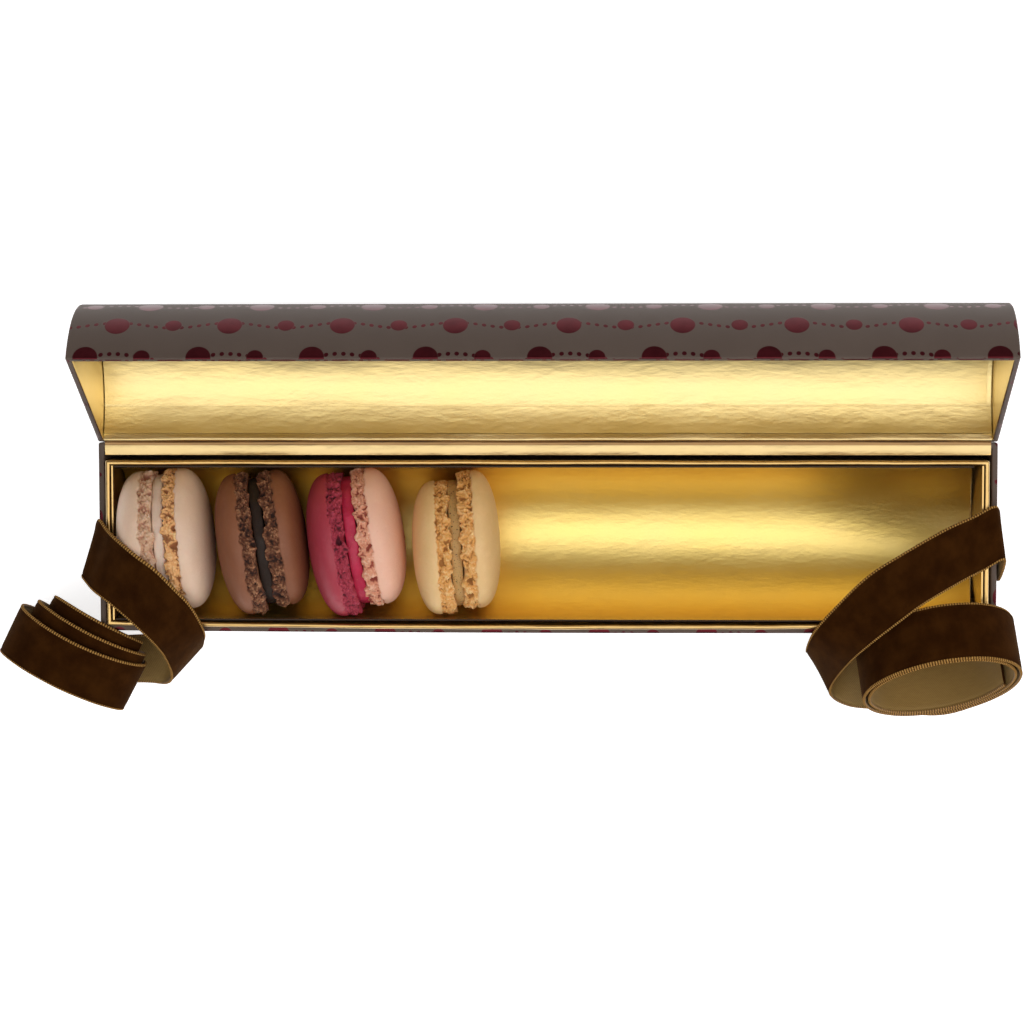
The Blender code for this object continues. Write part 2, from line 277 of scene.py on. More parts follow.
def add_block(name, low, high):
    clear_selection()
    middle = [(a + b) / 2 for a, b in zip(low, high)]
    bpy.ops.mesh.primitive_cube_add(size=1, location=middle)
    piece = named(name)
    piece.scale = [b - a for a, b in zip(low, high)]
    settle(piece)
    return piece


def hollow_out(piece, wall, floor):
    """Insets the top face by the wall and pushes it down to the floor."""
    top = max(vert.co.z for vert in piece.data.vertices)
    low = min(vert.co.z for vert in piece.data.vertices)
    choose_faces(piece, lambda face: face.normal.z > 0.9)
    bpy.ops.mesh.inset(thickness=wall)
    down = {"value": (0, 0, low + floor - top)}
    bpy.ops.mesh.extrude_region_move(TRANSFORM_OT_translate=down)
    bpy.ops.object.mode_set(mode="OBJECT")


def slice_along(piece, cuts):
    """Cuts the piece across at even steps along X, so that it can be bent."""
    low = min(vert.co.x for vert in piece.data.vertices)
    high = max(vert.co.x for vert in piece.data.vertices)
    alone(piece)
    bpy.ops.object.mode_set(mode="EDIT")
    for i in range(1, cuts):
        bpy.ops.mesh.select_all(action="SELECT")
        bpy.ops.mesh.bisect(plane_co=(low + (high - low) * i / cuts, 0, 0), plane_no=(1, 0, 0))
    bpy.ops.object.mode_set(mode="OBJECT")


def apply_modifier(piece, kind, **settings):
    alone(piece)
    modifier = piece.modifiers.new(kind.lower(), kind)
    for key, value in settings.items():
        setattr(modifier, key, value)
    bpy.ops.object.modifier_apply(modifier=modifier.name)


def round_edges(piece, width, segments=3):
    apply_modifier(piece, "BEVEL", width=width, segments=segments, limit_method="ANGLE", angle_limit=0.6)
    alone(piece)
    bpy.ops.object.shade_smooth_by_angle(angle=math.radians(40))


def lay_out(piece, flat_place):
    """Gives the piece a UV map in metres: flat_place turns a point and its face's normal into (u, v)."""
    while piece.data.uv_layers:
        piece.data.uv_layers.remove(piece.data.uv_layers[0])
    flat = piece.data.uv_layers.new(name="flat")
    for face in piece.data.polygons:
        for loop in face.loop_indices:
            point = piece.data.vertices[piece.data.loops[loop].vertex_index].co
            flat.data[loop].uv = flat_place(point, face.normal)


def box_wrap(point, normal):
    """The paper runs round the sides in one strip, and flat over the top and underside."""
    if abs(normal.z) > 0.7:
        return point.x, point.y
    if abs(normal.x) > abs(normal.y):
        return point.y + math.copysign(BOX_LENGTH, point.x), point.z
    return point.x, point.z


def bow_front(piece, face_y, bow):
    """Lets the long front wall belly out a little at its middle."""
    half = max(vert.co.x for vert in piece.data.vertices)
    for vert in piece.data.vertices:
        share = min(max((vert.co.y - face_y) / 0.02, 0), 1)
        vert.co.y -= bow * (1 - share) * (1 - (vert.co.x / half) ** 2)


def foil_paper():
    """Taupe paper with a fine tooth, printed with dark red foil: discs of two sizes and dotted waves."""
    paper = Finish("printed taupe paper", Specular_IOR_Level=0.3)
    flat = paper.cloth_place()
    across = paper.coordinate(flat, 0)
    column = across / DISC_COLUMN
    row = paper.coordinate(flat, 1) / DISC_ROW
    shifted = column + paper.maths("FLOOR", row) * 0.5
    beside = paper.maths("FRACT", shifted) - 0.5
    above = paper.maths("FRACT", row) - 0.5
    size = 0.20 + 0.10 * (paper.maths("FRACT", paper.maths("FLOOR", shifted) * 0.5) > 0.25)
    away = paper.maths("SQRT", beside * beside * 1.85 + above * above)
    disc = 1 - paper.between(away - size, -0.012, 0.012)
    wave = above - 0.5 + WAVE_SWING * paper.maths("SINE", across * (math.pi / DISC_COLUMN))
    wave = paper.maths("ABSOLUTE", paper.maths("FRACT", wave) - 0.5)
    bead = paper.maths("ABSOLUTE", paper.maths("FRACT", across / BEAD_PITCH) - 0.5)
    dots = (1 - paper.between(paper.maths("SQRT", wave * wave * 23 + bead * bead), 0.24, 0.29)) * (1 - disc)
    foil = paper.maths("MAXIMUM", disc, dots)
    tooth = paper.noise(flat, 2600, 4, 0.7)
    cloud = paper.noise(flat, 60, 3)
    taupe = paper.mix(cloud, (0.088, 0.060, 0.045), (0.114, 0.080, 0.061))
    taupe = paper.mix(tooth * 0.35, taupe, (0.135, 0.094, 0.076))
    crimson = paper.mix(paper.noise(flat, 180, 4), (0.045, 0.004, 0.006), (0.120, 0.014, 0.019))
    paper.set(**{"Base Color": paper.mix(foil, taupe, crimson), "Metallic": foil * 0.85})
    paper.set(Roughness=0.56 - foil * 0.28 + tooth * 0.08)
    paper.set(Normal=paper.bump(tooth * (1 - foil) + foil * 0.8, 0.00006, 0.5))
    return paper.material


PAPER = foil_paper()
outer_base = add_block("outer_base", (-HALF_LENGTH, -HALF_DEPTH, 0), (HALF_LENGTH, HALF_DEPTH, BASE_HEIGHT))
hollow_out(outer_base, BOARD, BOARD)
slice_along(outer_base, 16)
round_edges(outer_base, EDGE_ROUND)
lay_out(outer_base, box_wrap)
bow_front(outer_base, -HALF_DEPTH, FRONT_BOW)
outer_base.data.materials.append(PAPER)
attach(outer_base, "base")
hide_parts("base_shell")


# The gold neck. A tray of board covered with gold foil paper stands up inside the base, its rim rolled
# soft and a little uneven, as foil paper folds.
TRAY_LENGTH, TRAY_BACK, TRAY_FRONT, TRAY_TOP = 0.2778, 0.0246, -0.0278, 0.035
TRAY_WALL, TRAY_FLOOR = 0.0014, 0.0012
TRAY_BOW = 0.0009
RIM_ROUND = 0.00062
RIM_RIPPLE = 0.00022
CRINKLE = 0.00022
# The colour of the painted shade laid along a crease of the foil
PAINTED_FOLD_SHADE = (0.20, 0.09, 0.012)


def gold_foil(name, deep, pale, rough, grain, crease, fold=None):
    """Gold foil over card: a soft warm mirror, with the card's tooth, fine crinkles and lengthwise rolls.

    A fold is where the foil is creased, and the crease is darkened with painted shade; it is given as two
    places from front to back."""
    gold = Finish(name, Metallic=1.0, Coat_Weight=1.0, Coat_Roughness=0.3)
    spot = gold.place()
    cloud = gold.noise(spot, 45, 3)
    fine = gold.noise(spot, 3000, 2, 0.7)
    crinkle = gold.noise(gold.scaled(spot, (240, 620, 620)), 1.0, 5, 0.6)
    rolls = gold.noise(gold.scaled(spot, (28, 70, 70)), 1.0, 4)
    colour = gold.mix(cloud, deep, pale)
    # Painted shade: a darker stripe over the crease, between the two places of the fold
    if fold:
        back = gold.coordinate(spot, 1)
        fold_shade_mask = gold.between(back, fold[0], fold[0] + 0.0003) - gold.between(back, fold[1], fold[1] + 0.0003)
        colour = gold.mix(fold_shade_mask * 0.9, colour, PAINTED_FOLD_SHADE)
    gold.set(**{"Base Color": colour, "Roughness": rough + 0.10 * cloud})
    soft = gold.bump(rolls, crease, 0.5)
    soft = gold.bump(crinkle, CRINKLE, 0.6, soft)
    gold.set(Normal=gold.bump(fine, grain, 0.35, soft))
    return gold.material


GOLD_RIM = gold_foil(
    "gold foil, folded", (0.50, 0.29, 0.07), (0.70, 0.46, 0.16), rough=0.26, grain=0.00005, crease=0.0010
)
low, high = (-TRAY_LENGTH / 2, TRAY_FRONT, BOARD + GAP), (TRAY_LENGTH / 2, TRAY_BACK, TRAY_TOP)
gold_tray = add_block("gold_tray", low, high)
hollow_out(gold_tray, TRAY_WALL, TRAY_FLOOR)
slice_along(gold_tray, 40)
round_edges(gold_tray, RIM_ROUND, 4)
bow_front(gold_tray, TRAY_FRONT, TRAY_BOW)
for vert in gold_tray.data.vertices:
    if vert.co.z > BASE_HEIGHT:
        vert.co += noise.noise_vector(vert.co * 55) * RIM_RIPPLE
gold_tray.data.materials.append(GOLD_RIM)
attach(gold_tray, "base")
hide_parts("tray")


# The trough. One gold card bent to a U between the long walls of the tray, its right end cut short and a
# little slanted, with two flat gold cards closing the ends.
CARD = 0.0005
LINER_TOP, LINER_RADIUS = 0.0346, 0.0240
LINER_RIGHT_AT_RIM, LINER_RIGHT_AT_FLOOR = 0.1340, 0.1362
TROUGH_MIDDLE = (TRAY_FRONT + TRAY_BACK) / 2
LINER_AXIS = BOARD + 2 * GAP + TRAY_FLOOR + CARD + LINER_RADIUS
END_PLAY = 0.0002
LINER_LEFT = -TRAY_LENGTH / 2 + TRAY_WALL + 2 * GAP + CARD + END_PLAY


def add_edge(name, start, end):
    """One edge from start to end, left in edit mode: a plane whose corners are merged onto its two ends."""
    clear_selection()
    bpy.ops.mesh.primitive_plane_add(size=1)
    piece = named(name)
    for vert in piece.data.vertices:
        vert.co = start if vert.co.x < 0 else end
        vert.select = vert.index in (0, 1)
    edit_all(piece)
    bpy.ops.mesh.remove_doubles(threshold=WELD)
    bpy.ops.mesh.select_all(action="SELECT")
    return piece


def bent_card(name, start, end, hub, turn, steps, reach=0.0):
    """A card swept round an axis along X. With a reach, both of its edges run on straight up by it."""
    piece = add_edge(name, start, end)
    bpy.ops.mesh.spin(steps=steps, angle=turn, center=hub, axis=(1, 0, 0))
    bpy.ops.object.mode_set(mode="OBJECT")
    if reach:
        alone(piece)
        bpy.ops.object.mode_set(mode="EDIT")
        bpy.ops.mesh.select_mode(type="EDGE")
        bpy.ops.mesh.select_all(action="DESELECT")
        bpy.ops.object.mode_set(mode="OBJECT")
        for edge in piece.data.edges:
            edge.select = all(abs(piece.data.vertices[i].co.z - hub[2]) < 1e-5 for i in edge.vertices)
        bpy.ops.object.mode_set(mode="EDIT")
        bpy.ops.mesh.extrude_region_move(TRANSFORM_OT_translate={"value": (0, 0, reach)})
        bpy.ops.object.mode_set(mode="OBJECT")
    close_up(piece, WELD)
    return piece


def thicken(piece, thickness, toward):
    """Gives the card its thickness on the side that toward(face centre) points to."""
    face = piece.data.polygons[len(piece.data.polygons) // 2]
    side = 1 if face.normal.dot(toward(face.center)) > 0 else -1
    apply_modifier(piece, "SOLIDIFY", thickness=thickness, offset=side)
    alone(piece)
    bpy.ops.object.shade_smooth_by_angle(angle=math.radians(30))


GOLD_CARD = gold_foil(
    "gold foil card", (0.82, 0.585, 0.13), (0.88, 0.655, 0.21), rough=0.35, grain=0.00003, crease=0.0006
)
CUT_EDGE = Finish("cut edge of the card", Roughness=0.8)
GREY_BOARD = CUT_EDGE.noise(CUT_EDGE.place(), 900, 3)
CUT_EDGE.set(**{"Base Color": CUT_EDGE.mix(GREY_BOARD, (0.016, 0.008, 0.003), (0.045, 0.022, 0.008))})
start = Vector((LINER_LEFT, TROUGH_MIDDLE + LINER_RADIUS, LINER_AXIS))
end = Vector((LINER_RIGHT_AT_RIM, TROUGH_MIDDLE + LINER_RADIUS, LINER_AXIS))
hub = Vector((0, TROUGH_MIDDLE, LINER_AXIS))
trough_card = bent_card("trough_card", start, end, hub, math.pi, 64, LINER_TOP - LINER_AXIS)
for vert in trough_card.data.vertices:
    if vert.co.x > 0:
        share = (LINER_TOP - vert.co.z) / (LINER_TOP - LINER_AXIS + LINER_RADIUS)
        vert.co.x += share * (LINER_RIGHT_AT_FLOOR - LINER_RIGHT_AT_RIM)
thicken(trough_card, CARD, lambda centre: centre - Vector((centre.x, TROUGH_MIDDLE, LINER_AXIS)))
trough_card.data.materials.append(GOLD_CARD)
trough_card.data.materials.append(CUT_EDGE.material)
for face in trough_card.data.polygons:
    face.material_index = int(face.normal.z > 0.9 and face.center.z > LINER_TOP - CARD)
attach(trough_card, "base")
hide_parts("trough_liner")
for node_name in ("end_card_left", "end_card_right", "hinge_rail"):
    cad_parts[node_name].data.materials.clear()
    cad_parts[node_name].data.materials.append(GOLD_RIM)


# The lid. A half round dome of board in the same paper, with flat D ends. It is made shut, over the base,
# and then turned open on the hinge line.
LID_RADIUS = BOX_DEPTH / 2
LID_OPEN = math.radians(117.3)
HINGE = Vector((0, HALF_DEPTH, BASE_HEIGHT + GAP / 2))
DOME_MIDDLE = Vector((0, 0, HINGE.z + GAP / 2))


def swing_open(piece):
    """Turns a piece that was made on the shut lid to where the lid stands open."""
    turned = Matrix.Rotation(-LID_OPEN, 4, "X")
    piece.matrix_world = Matrix.Translation(HINGE) @ turned @ Matrix.Translation(-HINGE)
    settle(piece)


def dome_wrap(point, normal):
    """The paper of the dome, unrolled: along the box, and round the arc. The ends lie flat."""
    if abs(normal.x) > 0.7:
        return point.y + math.copysign(BOX_LENGTH, point.x), point.z
    around = math.atan2(point.z - DOME_MIDDLE.z, point.y - DOME_MIDDLE.y)
    return point.x, around * LID_RADIUS


def inside_lid(point):
    """Whether a point of the shut lid lies on the inner side of its board."""
    near = abs(point.x) < HALF_LENGTH - BOARD * 0.9
    return near and math.hypot(point.y, point.z - DOME_MIDDLE.z) < LID_RADIUS - BOARD * 0.9


GOLD_LINING = gold_foil(
    "gold foil lining", (0.78, 0.585, 0.21), (0.84, 0.655, 0.29), rough=0.33, grain=0.00003, crease=0.0012
)
clear_selection()
bpy.ops.mesh.primitive_circle_add(vertices=128, radius=LID_RADIUS, fill_type="NGON")
outer_lid = named("outer_lid")
outer_lid.rotation_euler = (math.pi / 2, 0, math.pi / 2)
outer_lid.location = DOME_MIDDLE - Vector((HALF_LENGTH, 0, 0))
settle(outer_lid)
edit_all(outer_lid)
bpy.ops.mesh.bisect(plane_co=DOME_MIDDLE, plane_no=(0, 0, 1), clear_inner=True)
bpy.ops.mesh.select_all(action="SELECT")
bpy.ops.mesh.extrude_region_move(TRANSFORM_OT_translate={"value": (BOX_LENGTH, 0, 0)})
bpy.ops.object.mode_set(mode="OBJECT")
close_up(outer_lid)
choose_faces(outer_lid, lambda face: face.normal.z < -0.9)
bpy.ops.mesh.delete(type="ONLY_FACE")
bpy.ops.object.mode_set(mode="OBJECT")
apply_modifier(outer_lid, "SOLIDIFY", thickness=BOARD, offset=-1, use_even_offset=True)
round_edges(outer_lid, EDGE_ROUND)
lay_out(outer_lid, dome_wrap)
foil_faces = {face.index for face in outer_lid.data.polygons if inside_lid(face.center)}
swing_open(outer_lid)
outer_lid.data.materials.append(PAPER)
outer_lid.data.materials.append(GOLD_LINING)
for face in outer_lid.data.polygons:
    face.material_index = int(face.index in foil_faces)
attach(outer_lid, "lid")
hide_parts("lid_shell")


# The gold inside of the lid. A narrow lining along the hinge and a larger card bent to the dome, over the
# foil paper that lines the board and the end walls.
LINING_FROM, LINING_TO = math.radians(4), math.radians(22)
LID_CARD_FROM, LID_CARD_TO = math.radians(23.5), math.radians(173)
LID_CARD_LEFT, LID_CARD_RIGHT = -HALF_LENGTH + BOARD + GAP, 0.1382
LINER_BEND = LID_RADIUS - BOARD - GAP


def lid_card(name, left, right, start_angle, end_angle, node):
    reach = LINER_BEND - CARD
    ends = []
    for x in (left, right):
        ends.append(DOME_MIDDLE + Vector((x, reach * math.cos(start_angle), reach * math.sin(start_angle))))
    steps = max(8, round((end_angle - start_angle) * 24))
    piece = bent_card(name, ends[0], ends[1], DOME_MIDDLE, start_angle - end_angle, steps)
    thicken(piece, CARD, lambda centre: centre - Vector((centre.x, DOME_MIDDLE.y, DOME_MIDDLE.z)))
    swing_open(piece)
    piece.data.materials.append(GOLD_LINING)
    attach(piece, "lid")
    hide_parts(node)


lid_card("lid_hinge_lining", LID_CARD_LEFT, -LID_CARD_LEFT, LINING_FROM, LINING_TO, "lid_lining")
lid_card("lid_dome_card", LID_CARD_LEFT, LID_CARD_RIGHT, LID_CARD_FROM, LID_CARD_TO, "lid_card")


# The paper hinge. A strip of gold foil paper glued to the rail and the back wall, creased on the hinge
# line, and glued up the edge of the lid.
HINGE_PAPER = 0.00022
HINGE_WAVER, HINGE_RIPPLE = 0.00012, 0.00018
# Where the strip is creased, from front to back; the crease is darkened with painted shade
HINGE_FOLD = (0.0290, 0.0304)

# The strip's outline as (y, z): on the base, and then, from the hinge, on the shut lid
HINGE_LINE = ((0.0262, 0.03020), (0.0275, 0.03040), (0.0290, 0.03042), (0.0297, 0.03034), (0.03005, 0.03045))
LID_EDGE_LINE = (
    (-0.0001, 0.00045), (-0.0010, 0.00005), (-0.0019, -0.0001), (-0.00215, 0.0006), (-0.0023, 0.0018),
)


GOLD_HINGE = gold_foil(
    "gold foil hinge", (0.46, 0.32, 0.11), (0.70, 0.51, 0.23), rough=0.28, grain=0.00006, crease=0.0012,
    fold=HINGE_FOLD,
)


def build_paper_hinge():
    turned = Matrix.Rotation(-LID_OPEN, 3, "X")
    outline = [Vector((0, y, z)) for y, z in HINGE_LINE]
    outline += [HINGE + turned @ Vector((0, y, z)) for y, z in LID_EDGE_LINE]
    clear_selection()
    bpy.ops.mesh.primitive_grid_add(x_subdivisions=48, y_subdivisions=len(outline) - 1, size=1)
    piece = named("paper_hinge")
    reach = HALF_LENGTH - BOARD - GAP
    for vert in piece.data.vertices:
        point = outline[round((vert.co.y + 0.5) * (len(outline) - 1))]
        vert.co = (vert.co.x * 2 * reach, point.y, point.z)
    for vert in piece.data.vertices:
        vert.co += noise.noise_vector(vert.co * 70) * HINGE_WAVER
        vert.co.z += noise.noise(Vector((vert.co.x * 45, vert.co.y * 900, 0))) * HINGE_RIPPLE
    apply_modifier(piece, "SUBSURF", levels=2, render_levels=2)
    apply_modifier(piece, "SOLIDIFY", thickness=HINGE_PAPER, offset=0)
    alone(piece)
    bpy.ops.object.shade_smooth_by_angle(angle=math.radians(60))
    piece.data.materials.append(GOLD_HINGE)
    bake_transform(piece)


build_paper_hinge()


# The macarons. Each is two almond shells with a smooth dome and a ruffled, crumbly foot, baked in one
# piece, and a disc of filling pressed between their flat sides. They stand on edge in the trough.
FOOT_HEIGHT = 0.0038
FILLING_SHARE = 0.965
FILLING_SUNK = 0.0009
DOME_POWER = 2.35
AROUND = 440
FOOT_ROWS = 24
DOME_ROWS = 34
BULGE_STEPS = 12

# The room a foot takes in the trough: its flare as a share of the radius, and its crumbs
FOOT_FLARE = 1.005
CRAG = 0.0005

# How deep the foot's crumbs go, how far its upper lip and its lower rim are torn and hang, and its holes
CRUMB_DEPTH = 0.00085
LIP_TEAR, LIP_REACH = 0.0011, 0.0011
RIM_TEAR, RIM_HANG = 0.0012, 0.0011
HOLE_FROM, HOLE_DEPTH = 0.40, 0.0012
DOME_SWELL = 0.00025

# name: place of the filling along the box, (left shell, filling, right shell) thickness, the radii of the
# two shells, how far each lies behind the middle of the trough, yaw, lean, and a step that varies the ruffles
MACARONS = {
    "rose": (-0.1206, (0.0133, 0.0038, 0.0129), (0.0225, 0.0225), (0.0006, 0.0005), 5.0, 1.4, 0.2),
    "chocolate": (-0.0900, (0.0125, 0.0040, 0.0120), (0.0226, 0.0218), (0.0001, 0.0004), 8.2, 5.0, 1.7),
    "raspberry": (-0.0601, (0.0130, 0.0042, 0.0130), (0.0229, 0.0219), (0.0, 0.0010), 8.5, 1.7, 3.1),
    "vanilla": (-0.0283, (0.0120, 0.0040, 0.0118), (0.0214, 0.0220), (-0.0015, 0.0005), 3.5, 2.8, 4.4),
}


def shell_rows(radius, height):
    """(radius, lift, foot share) for each row, from the middle of the flat side over the foot to the top."""
    rows = [(radius * share, 0.0, 0.0) for share in (0.001, 0.45, 0.80)]
    for i in range(FOOT_ROWS + 1):
        share = i / FOOT_ROWS
        belly = radius * (0.968 + 0.038 * math.sin(math.pi * (0.10 + 0.85 * share)))
        rows.append((belly, FOOT_HEIGHT * share, math.sin(math.pi * min(max(share, 0.04), 0.97)) ** 0.35))
    for i in range(DOME_ROWS + 1):
        rise = math.sin(math.pi / 2 * i / DOME_ROWS) ** 1.15
        across = max(1 - rise**DOME_POWER, 0) ** (1 / DOME_POWER)
        lift = FOOT_HEIGHT + 0.0003 + (height - FOOT_HEIGHT - 0.0003) * rise
        rows.append((max(radius * 0.995 * across, radius * 0.001), lift, 0.0))
    return rows


def wrap_rows(name, rows):
    """A grid rolled into a closed body: one side of the grid runs round the axis, the other up the rows."""
    clear_selection()
    bpy.ops.mesh.primitive_grid_add(x_subdivisions=AROUND, y_subdivisions=len(rows) - 1, size=1)
    piece = named(name)
    attribute = piece.data.attributes.new("foot", "FLOAT", "POINT")
    for vert in piece.data.vertices:
        angle = (vert.co.x + 0.5) * 2 * math.pi
        radius, lift, share = rows[round((vert.co.y + 0.5) * (len(rows) - 1))]
        attribute.data[vert.index].value = share
        vert.co = (radius * math.cos(angle), radius * math.sin(angle), lift)
    close_up(piece, WELD / 2)
    return piece


def roughen_foot(piece, seed):
    """Breaks the foot into crumbs and pits with ragged edges, and lets the dome swell a little unevenly."""
    shares = piece.data.attributes["foot"].data
    relief = piece.data.attributes.new("relief", "FLOAT", "POINT").data
    offset = Vector((seed * 3.1, seed * 1.7, seed))
    for vert in piece.data.vertices:
        share = shares[vert.index].value
        lift = vert.co.z
        out = Vector((vert.co.x, vert.co.y, 0)).normalized()
        place = vert.co + offset
        value = 0.5
        if share > 0:
            crumb = noise.voronoi(place * 1250)[0][0]
            lump = noise.fractal(place * 400, 0.7, 2.3, 5)
            value = min(max(0.70 - 0.70 * crumb + 0.42 * lump, 0), 1)
            hole = max(noise.noise(place * 270 + Vector((9, 4, 2))) - HOLE_FROM, 0)
            value *= max(1 - hole * 8, 0)
            vert.co += out * share * (CRUMB_DEPTH * (value * 2 - 1.25) - HOLE_DEPTH * min(hole * 4, 1))
        around = out * 0.022 + offset
        tear = noise.noise(around * 240) * 0.6 + noise.noise(around * 700) * 0.5
        tear += noise.noise(around * 1500) * 0.3
        vert.co.z += LIP_TEAR * tear * math.exp(-(((lift - FOOT_HEIGHT) / LIP_REACH) ** 2))
        if share > 0 and lift < RIM_TEAR:
            gap = noise.noise(around * 300 + offset) + 0.7 * noise.noise(around * 900) - 0.15
            reach = RIM_TEAR if gap > 0 else RIM_HANG
            vert.co.z += reach * max(min(gap * 1.4, 1), -1) * (1 - lift / RIM_TEAR)
        vert.co += out * noise.noise(place * 90) * DOME_SWELL
        vert.co.z = max(vert.co.z, -RIM_HANG if share > 0 else 0)
        relief[vert.index].value = value
    alone(piece)
    bpy.ops.object.shade_smooth()


def shell_finish(name, dome, dome_light, foot, foot_light, pit_shade, speck, shine=0.46):
    """The thin crust of the dome, and the open crumb of the foot with toasted grains, its low crumbs and pits
    darkened with painted shade.
    """
    crust = Finish(name, Subsurface_Weight=0.12, Subsurface_Scale=0.0015, Specular_IOR_Level=0.4)
    spot = crust.place()
    share = crust.attribute("foot")
    relief = crust.attribute("relief")
    cloud = crust.noise(spot, 130, 4)
    fine = crust.noise(spot, 1900, 4, 0.7)
    grains = crust.noise(spot, 1500, 2, 0.6)
    colour = crust.mix(cloud, dome, dome_light)
    colour = crust.mix(crust.between(crust.noise(spot, 420, 3), 0.52, 0.72) * 0.5, colour, dome_light)
    colour = crust.mix(crust.between(fine, 0.60, 0.74) * 0.4, colour, speck)
    # Partly painted shade: the crumb takes the darker foot colour where it lies low and the lighter one on
    # its raised crumbs, mixed with the random tone of the grains
    crumb = crust.mix(crust.between(relief + 0.9 * (grains - 0.5), 0.25, 0.95), foot, foot_light)
    crumb = crust.mix(crust.between(grains, 0.64, 0.72) * 0.5, crumb, speck)
    # Painted shade: the holes and the lowest crumbs of the foot take the dark pit colour
    crumb = crust.mix((1 - crust.between(relief, 0.02, 0.28)) * 0.85, crumb, pit_shade)
    crust.set(**{"Base Color": crust.mix(crust.between(share, 0.05, 0.55), colour, crumb)})
    crust.set(Roughness=shine + 0.12 * cloud + 0.35 * crust.between(share, 0.1, 0.6))
    swell = crust.bump(crust.noise(spot, 420, 3), 0.00018, 0.5)
    crust.set(Normal=crust.bump(fine, 0.00018, 0.5, swell))
    return crust.material


# Each shell takes its dome colours, its foot colours, a dark pit colour that is painted shade, its grain
# colour and, for some, its shine
SHELLS = {
    "blush": shell_finish(
        "blush shell", (0.75, 0.51, 0.36), (0.84, 0.61, 0.45), (0.76, 0.39, 0.15), (0.93, 0.61, 0.31),
        (0.24, 0.08, 0.03), (0.55, 0.21, 0.09),
    ),
    "blush pale": shell_finish(
        "blush shell, pale foot", (0.75, 0.51, 0.36), (0.84, 0.61, 0.45), (0.60, 0.36, 0.22),
        (0.78, 0.56, 0.41), (0.40, 0.16, 0.10), (0.45, 0.15, 0.09),
    ),
    "cocoa": shell_finish(
        "cocoa shell", (0.215, 0.073, 0.031), (0.285, 0.104, 0.047), (0.110, 0.036, 0.016),
        (0.43, 0.200, 0.098), (0.012, 0.004, 0.003), (0.44, 0.22, 0.11), 0.52,
    ),
    "crimson": shell_finish(
        "crimson shell", (0.355, 0.030, 0.050), (0.460, 0.050, 0.076), (0.33, 0.027, 0.050),
        (0.49, 0.062, 0.098), (0.045, 0.003, 0.008), (0.22, 0.014, 0.03), 0.42,
    ),
    "salmon": shell_finish(
        "salmon shell", (0.85, 0.46, 0.325), (0.92, 0.56, 0.41), (0.68, 0.29, 0.175), (0.88, 0.54, 0.38),
        (0.24, 0.024, 0.018), (0.62, 0.20, 0.13),
    ),
    "cream": shell_finish(
        "cream shell", (0.79, 0.495, 0.210), (0.89, 0.59, 0.275), (0.73, 0.35, 0.095), (0.92, 0.61, 0.28),
        (0.26, 0.09, 0.017), (0.56, 0.24, 0.06),
    ),
}


def filling_finish(name, colour, light, speck, rough, speck_share=0.72):
    """A soft filling: one colour that clouds a little, with seeds or flecks, and a slack, moist surface."""
    paste = Finish(name, Subsurface_Weight=0.15, Subsurface_Scale=0.001, Specular_IOR_Level=0.3)
    spot = paste.place()
    fleck = paste.noise(spot, 2300, 1, 0.4)
    shade = paste.mix(paste.noise(spot, 300, 4), colour, light)
    flecks = paste.between(fleck, speck_share, speck_share + 0.04)
    paste.set(**{"Base Color": paste.mix(flecks, shade, speck)})
    paste.set(Roughness=rough + 0.15 * paste.noise(spot, 700, 2))
    paste.set(Normal=paste.bump(paste.noise(spot, 600, 3), 0.0003, 0.6))
    return paste.material


FILLINGS = {
    "rose": filling_finish("rose cream", (0.68, 0.50, 0.38), (0.79, 0.63, 0.51), (0.62, 0.42, 0.30), 0.48),
    "chocolate": filling_finish(
        "ganache", (0.014, 0.006, 0.003), (0.030, 0.016, 0.010), (0.06, 0.04, 0.03), 0.60
    ),
    "raspberry": filling_finish(
        "red jam", (0.42, 0.014, 0.050), (0.58, 0.036, 0.092), (0.52, 0.12, 0.08), 0.36
    ),
    "vanilla": filling_finish(
        "vanilla cream", (0.46, 0.265, 0.088), (0.59, 0.355, 0.130), (0.02, 0.012, 0.006), 0.48, 0.66
    ),
}


def filling_rows(radius, thickness):
    """The edge of a filling disc, a soft bulge between two flat sides."""
    half = thickness / 2
    rows = [(radius * share, -half, 0.0) for share in (0.001, 0.5, 0.9)]
    for i in range(BULGE_STEPS + 1):
        angle = math.pi * (i / BULGE_STEPS - 0.5)
        rows.append((radius * (0.975 + 0.025 * math.cos(angle)), half * math.sin(angle), 0.0))
    return rows + [(radius * share, half, 0.0) for share in (0.9, 0.5, 0.001)]


def seat(radius, shift):
    """Where the middle of a shell comes to lie, low enough that its foot just clears the round trough."""
    play = LINER_RADIUS - GAP - (radius * FOOT_FLARE + CRAG)
    return Vector((0, shift, -math.sqrt(max(play**2 - shift**2, 0))))


